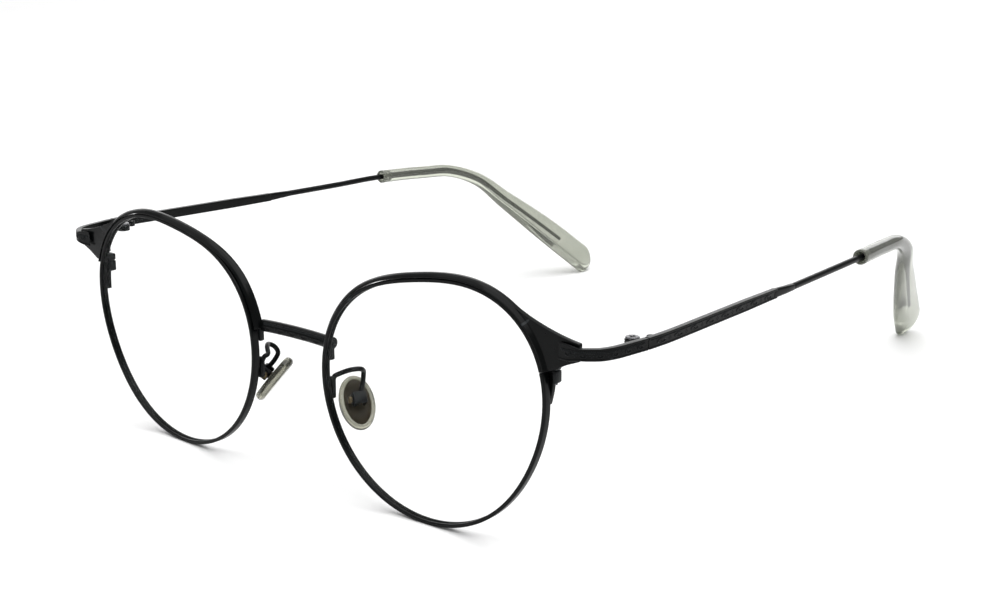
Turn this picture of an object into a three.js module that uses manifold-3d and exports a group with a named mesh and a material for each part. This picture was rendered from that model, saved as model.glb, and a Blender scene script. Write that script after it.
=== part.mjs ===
// Round wire eyeglasses: two eyewires with a brow bar and wing, a tube bridge, adjustable nose pads,
// screw hinges, and folding temples whose core wires end in clear moulded tips.
//
// Millimetres. +X is the wearer's left, -Y is the way the glasses face, +Z is up. The glasses stand
// open on the plane z = 0, on the undersides of both eyewires and both temple tips, with the origin
// under the middle of their box.
import * as THREE from 'three';
import { mergeVertices } from 'three/addons/utils/BufferGeometryUtils.js';
import Module from 'manifold-3d';

const wasm = await Module();
wasm.setup();

const { Vector2, Vector3 } = THREE;
const degrees = THREE.MathUtils.degToRad;

// ---------------------------------------------------------------- driving dimensions

const GAP = 0.1; // air between pieces that are soldered, screwed or pressed together
const REST_TILT = degrees(1.29);

// Front
const EYE_CENTRE = 35.4; // middle of the bridge to the middle of a lens
const FACE_WRAP = degrees(2.7); // each lens turns back at its outer edge
const RIM_RADIUS = 24.3; // mean radius of the eyewire's centre line
const RIM_WALL = 0.76; // eyewire thickness, measured across the lens plane
const RIM_DEPTH = 1.6;
const RIM_STEPS = 72;
const SPLIT_ANGLE = degrees(21.7); // where each eyewire is cut for fitting the lens
const SPLIT_GAP = degrees(0.45);
const LENS_THICKNESS = 1.2;
const LENS_CURVE = 118; // radius of both faces of the demonstration lens
const BROW_WIDTH = 0.84;
const BROW_RIDGE = -0.95; // the brow bar's inner ridge stands proud of the eyewire in front,
const BROW_EDGE = 0; // and its face slopes back to the outer edge
const BROW_BACK = 0.7;
const BROW_SETBACK = 0.9; // the bar moves back this far as it nears the bridge
const WING_FRONT = -0.25;
const WING_BACK = 0.78;
const FLANGE_BACK = 2; // the wing's lower edge is turned back this far, outside the closing blocks
const WING_END = 32.1; // outer edge of the wing, from the lens centre
const WING_TOP = 16.0;
const WING_BOTTOM = 12.9;

// Bridge and nose pads
const BRIDGE_RADIUS = 1.2;
const BRIDGE_HALF = 9.95;
const BRIDGE_HEIGHT = 5.2; // above the lens centres
const BRIDGE_ARCH = 0.3;
const BRIDGE_BACK = 0.9;
const PAD_CENTRE = new Vector3(11.56, 5.0, -7.2);
const PAD_SPLAY = degrees(60.6); // heading of the pad's width
const PAD_LEAN = degrees(38.8); // how far the top of the pad leans inwards
const PAD_LENGTH = 11.1;
const PAD_WIDTH = 7;
const PAD_THICKNESS = 1.9;
const CORE_WIDTH = 5.1;
const CORE_LENGTH = 9.2;
const PAD_PIVOT = -1.95; // screw axis behind the pad's middle
const PAD_ARM_RADIUS = 0.48;

// Endpiece, hinge and temple
const BAR_HEIGHT = 2.1;
const BAR_START_HEIGHT = 3; // the bar is wider where it starts on the wing
const BAR_THICKNESS = 1.2;
const BAR_Z = 14.45; // middle height of the bar at the hinge
const HINGE = new Vector3(69.3, 13.7, 0);
const FOLD_LINE = 13; // the bar is parted here, just in front of the hinge pin
const KNUCKLE_RADIUS = 1.4;
const KNUCKLE_HOLE = 0.55;
const BARREL_BOTTOM = 13.3;
const BARREL_TOP = 14.55;
const WIRE_RADIUS = 0.67;
const CORE_RADIUS = 0.46; // of the same wire inside the tip
const TIP_RADIUS = 1.6;
const PADDLE_WIDTH = 8.9;
const PADDLE_THICKNESS = 3.2;
const PADDLE_TWIST = degrees(31); // the paddle's top edge leans outwards

// Plan of the outer face of the bar, from its start on the wing, round the corner to the fold line.
const CORNER_POINTS = [
  [63.7, -0.1],
  [66.0, -0.02],
  [67.5, 0.15],
  [68.5, 0.6],
  [69.7, 1.5],
  [70.9, 2.6],
  [71.75, 4.15],
  [72.34, 6.15],
  [72.86, 9.7],
  [73.28, FOLD_LINE - GAP],
];

// The temple wire's centre line from the bar to the end of the tip.
const TEMPLE_POINTS = [
  [70.42, 64.4, 13.46],
  [69.5, 79, 13.32],
  [68.6, 94.4, 13.25],
  [66.6, 108.2, 12.65],
  [65.1, 117.6, 11.75],
  [62.75, 126.4, 8.2],
  [59.55, 133.1, 2.3],
  [56.35, 140.4, -3.85],
  [52.95, 148.55, -10.8],
  [50.3, 155.8, -17],
];
const MOUTH = 2; // the tip starts at this point,
const CORE_END = 8; // the core wire ends at this one,
const PADDLE_START = 4; // and the tip starts to widen here.

// ---------------------------------------------------------------- materials

const blackMetal = () => new THREE.MeshStandardMaterial({ color: 0x16171a, roughness: 0.38, metalness: 0.7 });
const screwSteel = () => new THREE.MeshStandardMaterial({ color: 0x3a3a3c, roughness: 0.32, metalness: 0.9 });
const clearTip = () => new THREE.MeshStandardMaterial({ color: 0xb4b9a6, roughness: 0.15, metalness: 0 });
const clearLens = () => new THREE.MeshStandardMaterial({ color: 0xf4f8f7, roughness: 0.05, metalness: 0 });
const clearPad = () => new THREE.MeshStandardMaterial({ color: 0xc2c6ba, roughness: 0.2, metalness: 0 });
const darkInsert = () => new THREE.MeshStandardMaterial({ color: 0x3d3426, roughness: 0.5, metalness: 0 });

// ---------------------------------------------------------------- geometry helpers

/** Closed indexed geometry with only positions left, and its faces pointing out. */
function closed(geometry) {
  const bare = geometry.clone();
  for (const name of Object.keys(bare.attributes)) {
    if (name !== 'position') bare.deleteAttribute(name);
  }
  const merged = mergeVertices(bare, 1e-5);
  return signedVolume(merged) < 0 ? flipped(merged) : merged;
}

function signedVolume(geometry) {
  const points = geometry.attributes.position;
  const index = geometry.index.array;
  const [a, b, c] = [new Vector3(), new Vector3(), new Vector3()];
  let volume = 0;
  for (let i = 0; i < index.length; i += 3) {
    a.fromBufferAttribute(points, index[i]);
    b.fromBufferAttribute(points, index[i + 1]);
    c.fromBufferAttribute(points, index[i + 2]);
    volume += a.dot(b.cross(c)) / 6;
  }
  return volume;
}

function flipped(geometry) {
  const index = geometry.index.array;
  for (let i = 0; i < index.length; i += 3) {
    [index[i], index[i + 1]] = [index[i + 1], index[i]];
  }
  return geometry;
}

/** The same solid for the other side of the face. */
function mirrored(geometry) {
  return flipped(geometry.clone().scale(-1, 1, 1));
}

function toManifold(geometry) {
  const body = closed(geometry);
  return new wasm.Manifold(new wasm.Mesh({
    numProp: 3,
    vertProperties: new Float32Array(body.attributes.position.array),
    triVerts: new Uint32Array(body.index.array),
  }));
}

function fromManifold(solid) {
  const mesh = solid.getMesh();
  const geometry = new THREE.BufferGeometry();
  geometry.setAttribute('position', new THREE.BufferAttribute(mesh.vertProperties, 3));
  geometry.setIndex(new THREE.BufferAttribute(mesh.triVerts, 1));
  return geometry;
}

function join(...parts) {
  return fromManifold(parts.map(toManifold).reduce((sum, part) => sum.add(part)));
}

function cut(body, ...tools) {
  return fromManifold(tools.map(toManifold).reduce((rest, tool) => rest.subtract(tool), toManifold(body)));
}

/** Closed body through rings of points in matching order, with both ends capped. */
function loft(rings) {
  const sides = rings[0].length;
  const index = [];
  for (let ring = 0; ring < rings.length - 1; ring++) {
    for (let side = 0; side < sides; side++) {
      const a = ring * sides + side;
      const b = ring * sides + ((side + 1) % sides);
      index.push(a, b, a + sides, b, b + sides, a + sides);
    }
  }
  index.push(...capTriangles(rings[0], 0, true));
  index.push(...capTriangles(rings.at(-1), (rings.length - 1) * sides, false));
  const geometry = new THREE.BufferGeometry().setFromPoints(rings.flat());
  geometry.setIndex(index);
  return closed(geometry);
}

/** Triangles that fill a flat ring; a reversed cap faces the other way. */
function capTriangles(ring, first, reversed) {
  const across = new Vector3().subVectors(ring[1], ring[0]).normalize();
  const normal = new Vector3();
  ring.forEach((point, i) => normal.add(new Vector3().crossVectors(point, ring[(i + 1) % ring.length])));
  normal.normalize();
  const up = new Vector3().crossVectors(normal, across);
  const flat = ring.map((point) => new Vector2(point.dot(across), point.dot(up)));
  const faces = THREE.ShapeUtils.triangulateShape(flat, []);
  return faces.flatMap(([a, b, c]) => {
    const [p, q, r] = reversed ? [a, c, b] : [a, b, c];
    return [p + first, q + first, r + first];
  });
}

/** Rounded rectangle as a ring of points in the plane, three to a corner. */
function roundedSection(width, height, radius) {
  const points = [];
  const corners = [[1, 1], [-1, 1], [-1, -1], [1, -1]];
  corners.forEach(([sx, sy], quarter) => {
    for (let step = 0; step <= 2; step++) {
      const angle = (quarter + step / 2) * Math.PI / 2;
      const x = sx * (width / 2 - radius) + radius * Math.cos(angle);
      const y = sy * (height / 2 - radius) + radius * Math.sin(angle);
      points.push(new Vector2(x, y));
    }
  });
  return points;
}

/** A section's points set across a path at a point, with its first axis level. */
function sectionAcross(section, point, tangent) {
  const level = new Vector3(tangent.y, -tangent.x, 0).normalize();
  const rise = new Vector3().crossVectors(level, tangent).normalize();
  return section.map(({ x, y }) => point.clone().addScaledVector(level, x).addScaledVector(rise, y));
}

/** Round wire along a curve. */
function wireAlong(curve, radius, steps, sides = 6) {
  const section = new THREE.Shape();
  section.setFromPoints(circlePoints(radius, sides));
  return closed(new THREE.ExtrudeGeometry(section, { steps, extrudePath: curve, bevelEnabled: false }));
}

function circlePoints(radius, sides) {
  return Array.from({ length: sides }, (_, i) => {
    const angle = (i / sides) * 2 * Math.PI;
    return new Vector2(radius * Math.cos(angle), radius * Math.sin(angle));
  });
}

/** Upright bevelled plate: the outline lies in XZ and the plate reaches from front to back in Y. */
function platePart(outline, front, back, bevel = 0) {
  const geometry = new THREE.ExtrudeGeometry(outline, {
    depth: back - front - 2 * bevel,
    bevelEnabled: bevel > 0,
    bevelThickness: bevel,
    bevelSize: bevel,
    bevelOffset: -bevel,
    bevelSegments: 1,
    curveSegments: 8,
  });
  return closed(geometry.rotateX(Math.PI / 2).translate(0, back - bevel, 0));
}

/** Level plate: the outline lies in XY and the plate reaches from bottom to top in Z. */
function levelPart(outline, bottom, top) {
  const geometry = new THREE.ExtrudeGeometry(outline, {
    depth: top - bottom,
    bevelEnabled: false,
    curveSegments: 8,
  });
  return closed(geometry.translate(0, 0, bottom));
}

/** Box between two corners. */
function block(low, high) {
  const size = high.map((value, i) => value - low[i]);
  const middle = high.map((value, i) => (value + low[i]) / 2);
  return closed(new THREE.BoxGeometry(...size).translate(...middle));
}

/** Upright round bar. */
function post(x, y, radius, bottom, top, sides = 12) {
  const geometry = new THREE.CylinderGeometry(radius, radius, top - bottom, sides);
  return closed(geometry.rotateX(Math.PI / 2).translate(x, y, (bottom + top) / 2));
}

function outline(points) {
  return new THREE.Shape(points.map(([x, y]) => new Vector2(x, y)));
}

// ---------------------------------------------------------------- eyewire, lens and brow bar
// These are drawn in the eye's own frame: X outwards from the lens centre, Y back, Z up.

/** Centre-line radius of the eyewire: a rounded pear outline, fuller below and at the outer top. */
function rimRadius(angle) {
  return RIM_RADIUS
    + 1.24 * Math.cos(2 * angle) + 1.05 * Math.sin(2 * angle)
    - 0.33 * Math.cos(3 * angle) + 0.81 * Math.sin(3 * angle)
    - 0.26 * Math.cos(4 * angle);
}

/** Point beside the eyewire's centre line, offset outwards and set back by depth. */
function rimPoint(angle, offset, depth = 0) {
  const step = 1e-3;
  const at = (a) => new Vector2(rimRadius(a) * Math.cos(a), rimRadius(a) * Math.sin(a));
  const along = at(angle + step).sub(at(angle - step)).normalize();
  const point = at(angle);
  return new Vector3(point.x + along.y * offset, depth, point.y - along.x * offset);
}

function rim() {
  const outer = RIM_WALL / 2;
  const half = RIM_DEPTH / 2;
  const section = [
    [outer, -half],
    [outer, half],
    [-outer, half],
    [-outer, 0.45],
    [-0.05, 0],
    [-outer, -0.45],
    [-outer, -half],
  ];
  const first = SPLIT_ANGLE + SPLIT_GAP / 2;
  const sweep = 2 * Math.PI - SPLIT_GAP;
  const rings = Array.from({ length: RIM_STEPS + 1 }, (_, i) => {
    const angle = first + (i / RIM_STEPS) * sweep;
    return section.map(([offset, depth]) => rimPoint(angle, offset, depth));
  });
  return loft(rings);
}

/** Clear meniscus with a bevelled edge that sits in the eyewire's groove. */
function lens() {
  const steps = 48;
  const shoulder = -RIM_WALL / 2 - 0.25;
  const sag = (radius) => radius ** 2 / (2 * LENS_CURVE);
  const edgeSag = sag(RIM_RADIUS);
  const ring = (scale, offset, depthAt) => Array.from({ length: steps }, (_, i) => {
    const point = rimPoint((i / steps) * 2 * Math.PI, offset).multiplyScalar(scale);
    point.y = depthAt(Math.hypot(point.x, point.z));
    return point;
  });
  const half = LENS_THICKNESS / 2;
  const front = (radius) => sag(radius) - edgeSag - half;
  const back = (radius) => sag(radius) - edgeSag + half;
  return loft([
    ring(0.04, shoulder, front),
    ring(0.5, shoulder, front),
    ring(0.8, shoulder, front),
    ring(1, shoulder, () => -0.42),
    ring(1, -0.25, () => 0),
    ring(1, shoulder, () => 0.42),
    ring(0.8, shoulder, back),
    ring(0.5, shoulder, back),
    ring(0.04, shoulder, back),
  ]);
}

/** The brow bar hugs the upper half of the eyewire and flares into the wing at its outer end. */
function browBar() {
  const nasalEnd = degrees(165);
  const outerEnd = SPLIT_ANGLE + SPLIT_GAP;
  const inner = RIM_WALL / 2 + GAP;
  const outer = inner + BROW_WIDTH;
  const section = [
    [inner, BROW_RIDGE, 0.8],
    [inner + 0.25, BROW_RIDGE, 0.8],
    [outer, BROW_EDGE, 0.5],
    [outer, BROW_BACK, 1],
    [inner, BROW_BACK, 1],
  ];
  const steps = 34;
  const rings = Array.from({ length: steps + 1 }, (_, i) => {
    const angle = THREE.MathUtils.lerp(outerEnd, nasalEnd, i / steps);
    const setback = BROW_SETBACK * THREE.MathUtils.smoothstep(angle, degrees(112), degrees(150));
    return section.map(([offset, depth, share]) => rimPoint(angle, offset, depth + setback * share));
  });
  return join(loft(rings), wing(outerEnd, inner + 0.15, outer));
}

/** Flat plate that fills the corner between the brow bar and the endpiece. */
function wing(lowerAngle, inner, outer) {
  const upperAngle = degrees(52);
  const flat = (angle, offset) => {
    const point = rimPoint(angle, offset);
    return new Vector2(point.x, point.z);
  };
  const steps = 10;
  const innerEdge = Array.from({ length: steps + 1 }, (_, i) => (
    flat(THREE.MathUtils.lerp(lowerAngle, upperAngle, i / steps), inner)
  ));
  const upperSweep = new THREE.CubicBezierCurve(
    flat(upperAngle, outer),
    new Vector2(19.5, 19.3),
    new Vector2(26.5, 16.7),
    new Vector2(WING_END, WING_TOP),
  );
  const lowerSweep = new THREE.CubicBezierCurve(
    new Vector2(WING_END, WING_BOTTOM),
    new Vector2(29.7, 12.2),
    new Vector2(28.4, 11.3),
    flat(lowerAngle, inner + 1.9),
  );
  const shape = new THREE.Shape([...innerEdge, ...upperSweep.getPoints(8), ...lowerSweep.getPoints(6)]);
  const lowEdge = lowerSweep.getPoints(12).filter(({ x }) => x > 27.2);
  const highEdge = lowEdge.map(({ x, y }) => new Vector2(x, y + 1)).reverse();
  const flange = platePart(new THREE.Shape([...lowEdge, ...highEdge]), WING_BACK - 0.3, FLANGE_BACK, 0.1);
  return join(platePart(shape, WING_FRONT, WING_BACK, 0.1), flange);
}

const SPLIT_HEIGHT = 10; // the joint between the two closing blocks
const BLOCK_FRONT = RIM_DEPTH / 2 + GAP;
const BLOCK_BACK = 2.7;
const TAIL_BACK = 1.8;
const RIM_SCREW_X = 25.9;
const RIM_SCREW_Y = 1.8;

/** Upper half of the rim lock, behind the eyewire. */
function closingBlockUpper() {
  const body = block([24, BLOCK_FRONT, SPLIT_HEIGHT + 0.08], [26.7, BLOCK_BACK, 11.45]);
  return cut(body, post(RIM_SCREW_X, RIM_SCREW_Y, 0.6, SPLIT_HEIGHT - 1, 14));
}

/** Lower half of the rim lock, with a tail that tapers down the back of the eyewire. */
function closingBlockLower() {
  const body = block([24, BLOCK_FRONT, 7.7], [26.7, BLOCK_BACK, SPLIT_HEIGHT - 0.08]);
  const bore = post(RIM_SCREW_X, RIM_SCREW_Y, 0.6, SPLIT_HEIGHT - 6, SPLIT_HEIGHT + 1);
  return cut(join(body, blockTail()), bore);
}

function blockTail() {
  const inner = -RIM_WALL / 2;
  const [top, end] = [SPLIT_ANGLE - SPLIT_GAP, degrees(8.5)];
  const steps = 8;
  return loft(Array.from({ length: steps + 1 }, (_, i) => {
    const angle = THREE.MathUtils.lerp(top, end, i / steps);
    const outer = RIM_WALL / 2 + THREE.MathUtils.lerp(1.2, -0.45, i / steps);
    return [[inner, BLOCK_FRONT], [outer, BLOCK_FRONT], [outer, TAIL_BACK], [inner, TAIL_BACK]].map(
      ([offset, depth]) => rimPoint(angle, offset, depth),
    );
  }));
}

function rimScrew() {
  const shank = post(RIM_SCREW_X, RIM_SCREW_Y, 0.48, 7.3, 11.9);
  return join(shank, post(RIM_SCREW_X, RIM_SCREW_Y, 0.85, 11.8, 12.2));
}

// ---------------------------------------------------------------- bridge
// From here on pieces are drawn in the frame of the front: X left, Y back, Z up from the lens centres.

/** Round tube with a small soldering foot below each end. */
function bridge() {
  const path = new THREE.QuadraticBezierCurve3(
    new Vector3(-BRIDGE_HALF, BRIDGE_BACK, BRIDGE_HEIGHT),
    new Vector3(0, BRIDGE_BACK, BRIDGE_HEIGHT + 2 * BRIDGE_ARCH),
    new Vector3(BRIDGE_HALF, BRIDGE_BACK, BRIDGE_HEIGHT),
  );
  const tube = wireAlong(path, BRIDGE_RADIUS, 10, 14);
  const foot = (side) => {
    const body = block([9.3, -0.25, 2.2], [10.3, 0.85, BRIDGE_HEIGHT]);
    return side > 0 ? body : mirrored(body);
  };
  return join(tube, foot(1), foot(-1));
}

// ---------------------------------------------------------------- nose pads

/** Bent wire from its foot on the back of the eyewire, over a hook, down to the pad box. */
function padArm() {
  const path = new THREE.CatmullRomCurve3([
    new Vector3(10.0, 0.35, -2.4),
    new Vector3(9.8, 0.95, -1.3),
    new Vector3(9.95, 2.05, -1.0),
    new Vector3(11.7, 3.5, -0.2),
    new Vector3(12.8, 4.9, -0.15),
    new Vector3(12.4, 6.1, -0.9),
    new Vector3(11.95, 6.5, -2.1),
    new Vector3(12.25, 5.95, -3.4),
    new Vector3(12.75, 4.97, -4.62),
  ]);
  const foot = outline([[9.55, -5.3], [10.5, -5.3], [10.6, -1.2], [9.55, -1.0], [9.25, -2.4], [9.25, -4.2]]);
  return join(wireAlong(path, PAD_ARM_RADIUS, 24), platePart(foot, -0.3, 0.7, 0.1));
}

// The pad's own frame has its origin at the pad's middle, X across the pad, Y towards the nose and Z up it.

/** Open clevis that holds the pad's tab between two cheeks. */
function padBox() {
  const [base, front] = [-3.35, -1.25];
  const body = block([-1.3, base, -1.2], [1.3, front, 1.2]);
  const slot = block([-0.6, base + 0.6, -2], [0.6, front + 1, 2]);
  return cut(body, slot, crossPin(0.47, -3, 3));
}

/** Bar along the pad's screw axis. */
function crossPin(radius, from, to) {
  const geometry = new THREE.CylinderGeometry(radius, radius, to - from, 10);
  return closed(geometry.rotateZ(Math.PI / 2).translate((from + to) / 2, PAD_PIVOT, 0));
}

function padScrew() {
  return join(crossPin(0.36, -1.5, 1.35), crossPin(0.72, -2.05, -1.38));
}

/** Clear oval pad with a flat bearing face and a pocket at the back for its insert. */
function nosePad() {
  const half = PAD_THICKNESS / 2;
  const profile = [[0, -half], [0.88, -half], [0.97, -0.6], [1, 0], [0.95, 0.55], [0.82, half], [0, half]];
  const pocket = [[0, -half - 1], [1, -half - 1], [1, -0.05], [0, -0.05]];
  return cut(
    ovalPart(profile, PAD_WIDTH / 2, PAD_LENGTH / 2),
    ovalPart(pocket, CORE_WIDTH / 2 + GAP, CORE_LENGTH / 2 + GAP),
  );
}

/** Turned profile (fraction of the radius, height along Y) stretched into an oval. */
function ovalPart(profile, halfWidth, halfLength) {
  const points = profile.map(([radius, height]) => new Vector2(radius, height));
  return closed(new THREE.LatheGeometry(points, 28).scale(halfWidth, 1, halfLength));
}

/** Dark insert that lies in the pad, with the drilled tab that the pad hangs on. */
function padCore() {
  const plate = ovalPart([[0, -0.8], [1, -0.8], [1, -0.15], [0, -0.15]], CORE_WIDTH / 2, CORE_LENGTH / 2);
  const tab = new THREE.Shape();
  tab.moveTo(0.7, -0.7);
  tab.lineTo(0.7, PAD_PIVOT);
  tab.absarc(0, PAD_PIVOT, 0.7, 0, Math.PI, true);
  tab.lineTo(-0.7, -0.7);
  tab.holes.push(new THREE.Path().absarc(0, PAD_PIVOT, 0.46, 0, 2 * Math.PI));
  const thickness = 0.8;
  const settings = { depth: thickness, bevelEnabled: false, curveSegments: 6 };
  const geometry = new THREE.ExtrudeGeometry(tab, settings);
  return join(plate, geometry.translate(0, 0, -thickness / 2).rotateY(Math.PI / 2));
}

// ---------------------------------------------------------------- endpiece and hinge

/** Flat bar that starts on the face of the wing, turns the corner and runs back to the fold line. */
function endpiece() {
  const face = new THREE.CatmullRomCurve3(CORNER_POINTS.map(([x, y]) => new Vector3(x, y, BAR_Z)));
  const steps = 16;
  return loft(Array.from({ length: steps + 1 }, (_, i) => {
    const t = i / steps;
    const thickness = THREE.MathUtils.lerp(0.72, BAR_THICKNESS, THREE.MathUtils.smoothstep(t, 0.3, 0.45));
    const narrowed = THREE.MathUtils.smoothstep(t, 0.05, 0.3);
    const height = THREE.MathUtils.lerp(BAR_START_HEIGHT, BAR_HEIGHT, narrowed);
    return barRing(face.getPoint(t), face.getTangent(t), thickness, height);
  }));
}

/** Section of the bar, set inwards from a point on its outer face. */
function barRing(facePoint, tangent, thickness, height = BAR_HEIGHT) {
  const section = roundedSection(thickness, height, 0.3);
  const inset = section.map(({ x, y }) => new Vector2(x - thickness / 2, y));
  return sectionAcross(inset, facePoint, tangent);
}

/** Hinge ear: a drilled knuckle and a web to the leaf, on the front (reach -1) or the temple (1). */
function ear(reach, bottom, top) {
  const [near, far] = [0.4, 1.9].map((value) => value * reach);
  const web = block([0, Math.min(near, far), bottom], [2.5, Math.max(near, far), top]);
  const hole = post(0, 0, KNUCKLE_HOLE, bottom - 1, top + 1);
  return cut(join(post(0, 0, KNUCKLE_RADIUS, bottom, top, 20), web), hole);
}

/** Leaf soldered to the inner face of the bar, on the front (reach -1) or the temple (1). */
function leafPlate(reach) {
  const slant = reach < 0 ? 0.45 : 0.1;
  const plate = outline([
    [1.3, 1.6 * reach],
    [2.5, 1.6 * reach],
    [2.5 - slant, 4.2 * reach],
    [1.3, 4.2 * reach],
  ]);
  return levelPart(plate, BARREL_BOTTOM + 0.1, BARREL_TOP);
}

const KNUCKLE_HEIGHT = (BARREL_TOP - BARREL_BOTTOM) / 3;
const KNUCKLE_GAP = 0.05;

/** Upper and lower knuckles on the front, drawn from the hinge pin. */
function hingeFront() {
  const lower = ear(-1, BARREL_BOTTOM, BARREL_BOTTOM + KNUCKLE_HEIGHT - KNUCKLE_GAP);
  const upper = ear(-1, BARREL_TOP - KNUCKLE_HEIGHT + KNUCKLE_GAP, BARREL_TOP);
  return join(lower, upper, leafPlate(-1));
}

/** Middle knuckle on the temple and the rivet at the end of its leaf, drawn from the hinge pin. */
function hingeTemple() {
  const bottom = BARREL_BOTTOM + KNUCKLE_HEIGHT + KNUCKLE_GAP;
  const middle = ear(1, bottom, BARREL_TOP - KNUCKLE_HEIGHT - KNUCKLE_GAP);
  return join(middle, leafPlate(1), post(1.45, 3.3, 0.75, BARREL_BOTTOM + 0.1, BARREL_TOP + 0.15));
}

function hingeScrew() {
  const head = post(0, 0, 1.25, BARREL_TOP + 0.08, BARREL_TOP + 0.4, 16);
  return join(post(0, 0, 0.43, BARREL_BOTTOM - 0.1, BARREL_TOP + 0.2), head);
}

// ---------------------------------------------------------------- temple

const templeLine = new THREE.CatmullRomCurve3(TEMPLE_POINTS.map((point) => new Vector3(...point)));
const LAST_POINT = TEMPLE_POINTS.length - 1;

/** Part of the temple's centre line, between two of its points. */
class TempleStretch extends THREE.Curve {
  constructor(from, to) {
    super();
    this.from = from;
    this.to = to;
  }

  getPoint(t, target = new Vector3()) {
    return templeLine.getPoint(THREE.MathUtils.lerp(this.from, this.to, t) / LAST_POINT, target);
  }
}

/** Flat bar from the hinge to a stepped shoulder, then a taper down to the wire. */
function templeBar() {
  const end = templeLine.getPoint(0);
  const faces = [
    [73.3, FOLD_LINE + GAP, BAR_Z],
    [73.4, 16, 14.4],
    [73.3, 20, 14.3],
    [72.72, 30, 14.1],
    [72.12, 40, 13.9],
    [71.04, 58, 13.55],
  ];
  const along = new Vector3(-0.06, 1, -0.02).normalize();
  const bar = faces.map(([x, y, z], i) => barRing(
    new Vector3(x, y, z),
    i < 2 ? new Vector3(0, 1, 0) : along,
    BAR_THICKNESS,
  ));
  const shoulder = [
    { x: 70.44, y: 58.3, z: 13.55, width: 1.15, height: 1.86 },
    { x: 70.5, y: 61, z: 13.5, width: 1.25, height: 1.64 },
    { x: end.x, y: end.y - GAP, z: end.z, width: 2 * WIRE_RADIUS, height: 2 * WIRE_RADIUS },
  ];
  const taper = shoulder.map(({ x, y, z, width, height }) => (
    sectionAcross(roundedSection(width, height, width / 2 - 0.01), new Vector3(x, y, z), along)
  ));
  return loft([...bar, ...taper]);
}

const WIRE_PLACES = Array.from({ length: 41 }, (_, i) => (i * CORE_END) / 40);

/** The wire through a list of places along the temple; a clearance swells it to its bore. */
function wireThrough(places, clearance = 0) {
  const line = new TempleStretch(0, LAST_POINT);
  return loft(places.map((place) => {
    const thinned = THREE.MathUtils.smoothstep(place, MOUTH, MOUTH + 0.2);
    const radius = THREE.MathUtils.lerp(WIRE_RADIUS, CORE_RADIUS, thinned) + clearance;
    const t = place / LAST_POINT;
    return sectionAcross(circlePoints(radius, 6), line.getPoint(t), line.getTangent(t));
  }));
}

/** Moulded tip: a round sleeve over the wire that bends down and widens into a flat rounded paddle. */
function templeTip() {
  const line = new TempleStretch(MOUTH, LAST_POINT);
  const steps = 24;
  const span = LAST_POINT - MOUTH;
  const widenFrom = (PADDLE_START - MOUTH) / span;
  const rings = Array.from({ length: steps + 1 }, (_, i) => {
    const t = i / steps;
    const spread = THREE.MathUtils.smoothstep(t, widenFrom, 0.93);
    return ovalRing(line.getPoint(t), line.getTangent(t), {
      width: THREE.MathUtils.lerp(2 * TIP_RADIUS, PADDLE_WIDTH, spread),
      thickness: THREE.MathUtils.lerp(2 * TIP_RADIUS, PADDLE_THICKNESS, spread),
    });
  });
  const end = line.getPoint(1);
  const ahead = line.getTangent(1);
  for (const turn of [28, 52, 74].map(degrees)) {
    const point = end.clone().addScaledVector(ahead, 3.2 * Math.sin(turn));
    const width = PADDLE_WIDTH * Math.cos(turn);
    rings.push(ovalRing(point, ahead, { width, thickness: PADDLE_THICKNESS * Math.sqrt(Math.cos(turn)) }));
  }
  const borePlaces = [...WIRE_PLACES.filter((place) => place > MOUTH - 0.3), CORE_END + 0.06];
  return cut(loft(rings), wireThrough(borePlaces, 0.15));
}

/** Oval ring across the tip, with its width turned from upright by the paddle's twist. */
function ovalRing(point, tangent, { width, thickness }) {
  const middle = new Vector2();
  const section = circlePoints(0.5, 12).map(({ x, y }) => (
    new Vector2(x * thickness, y * width).rotateAround(middle, -PADDLE_TWIST)
  ));
  return sectionAcross(section, point, tangent);
}

// ---------------------------------------------------------------- assembly

const SIDES = [
  { name: 'left', sign: 1 },
  { name: 'right', sign: -1 },
];

/** A named piece: the geometry is drawn for the wearer's left and mirrored for the right. */
function piece(side, name, geometry, material) {
  const shape = side.sign > 0 ? geometry : mirrored(geometry);
  const mesh = new THREE.Mesh(shape, material);
  mesh.name = `${side.name}_${name}`;
  return mesh;
}

/** Turns and moves a group that is set out for the left side to its place on either side. */
function handed(group, side) {
  const { x, y, z, w } = group.quaternion;
  group.quaternion.set(x, y * side.sign, z * side.sign, w);
  group.position.x *= side.sign;
  return group;
}

function eyeGroup(side) {
  const group = new THREE.Group();
  group.position.x = EYE_CENTRE;
  group.rotation.z = FACE_WRAP;
  group.add(
    piece(side, 'rim', rim(), blackMetal()),
    piece(side, 'lens', lens(), clearLens()),
    piece(side, 'brow_bar', browBar(), blackMetal()),
    piece(side, 'closing_block_upper', closingBlockUpper(), blackMetal()),
    piece(side, 'closing_block_lower', closingBlockLower(), blackMetal()),
    piece(side, 'rim_screw', rimScrew(), screwSteel()),
  );
  return handed(group, side);
}

function padGroup(side) {
  const group = new THREE.Group();
  group.position.copy(PAD_CENTRE);
  group.rotation.set(-PAD_LEAN, 0, PAD_SPLAY, 'ZXY');
  group.add(
    piece(side, 'pad_box', padBox(), blackMetal()),
    piece(side, 'pad_screw', padScrew(), screwSteel()),
    piece(side, 'nose_pad', nosePad(), clearPad()),
    piece(side, 'pad_core', padCore(), darkInsert()),
  );
  return handed(group, side);
}

function hingeGroup(side) {
  const group = new THREE.Group();
  group.position.copy(HINGE);
  group.add(
    piece(side, 'hinge_front', hingeFront(), blackMetal()),
    piece(side, 'hinge_temple', hingeTemple(), blackMetal()),
    piece(side, 'hinge_screw', hingeScrew(), screwSteel()),
  );
  return handed(group, side);
}

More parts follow.
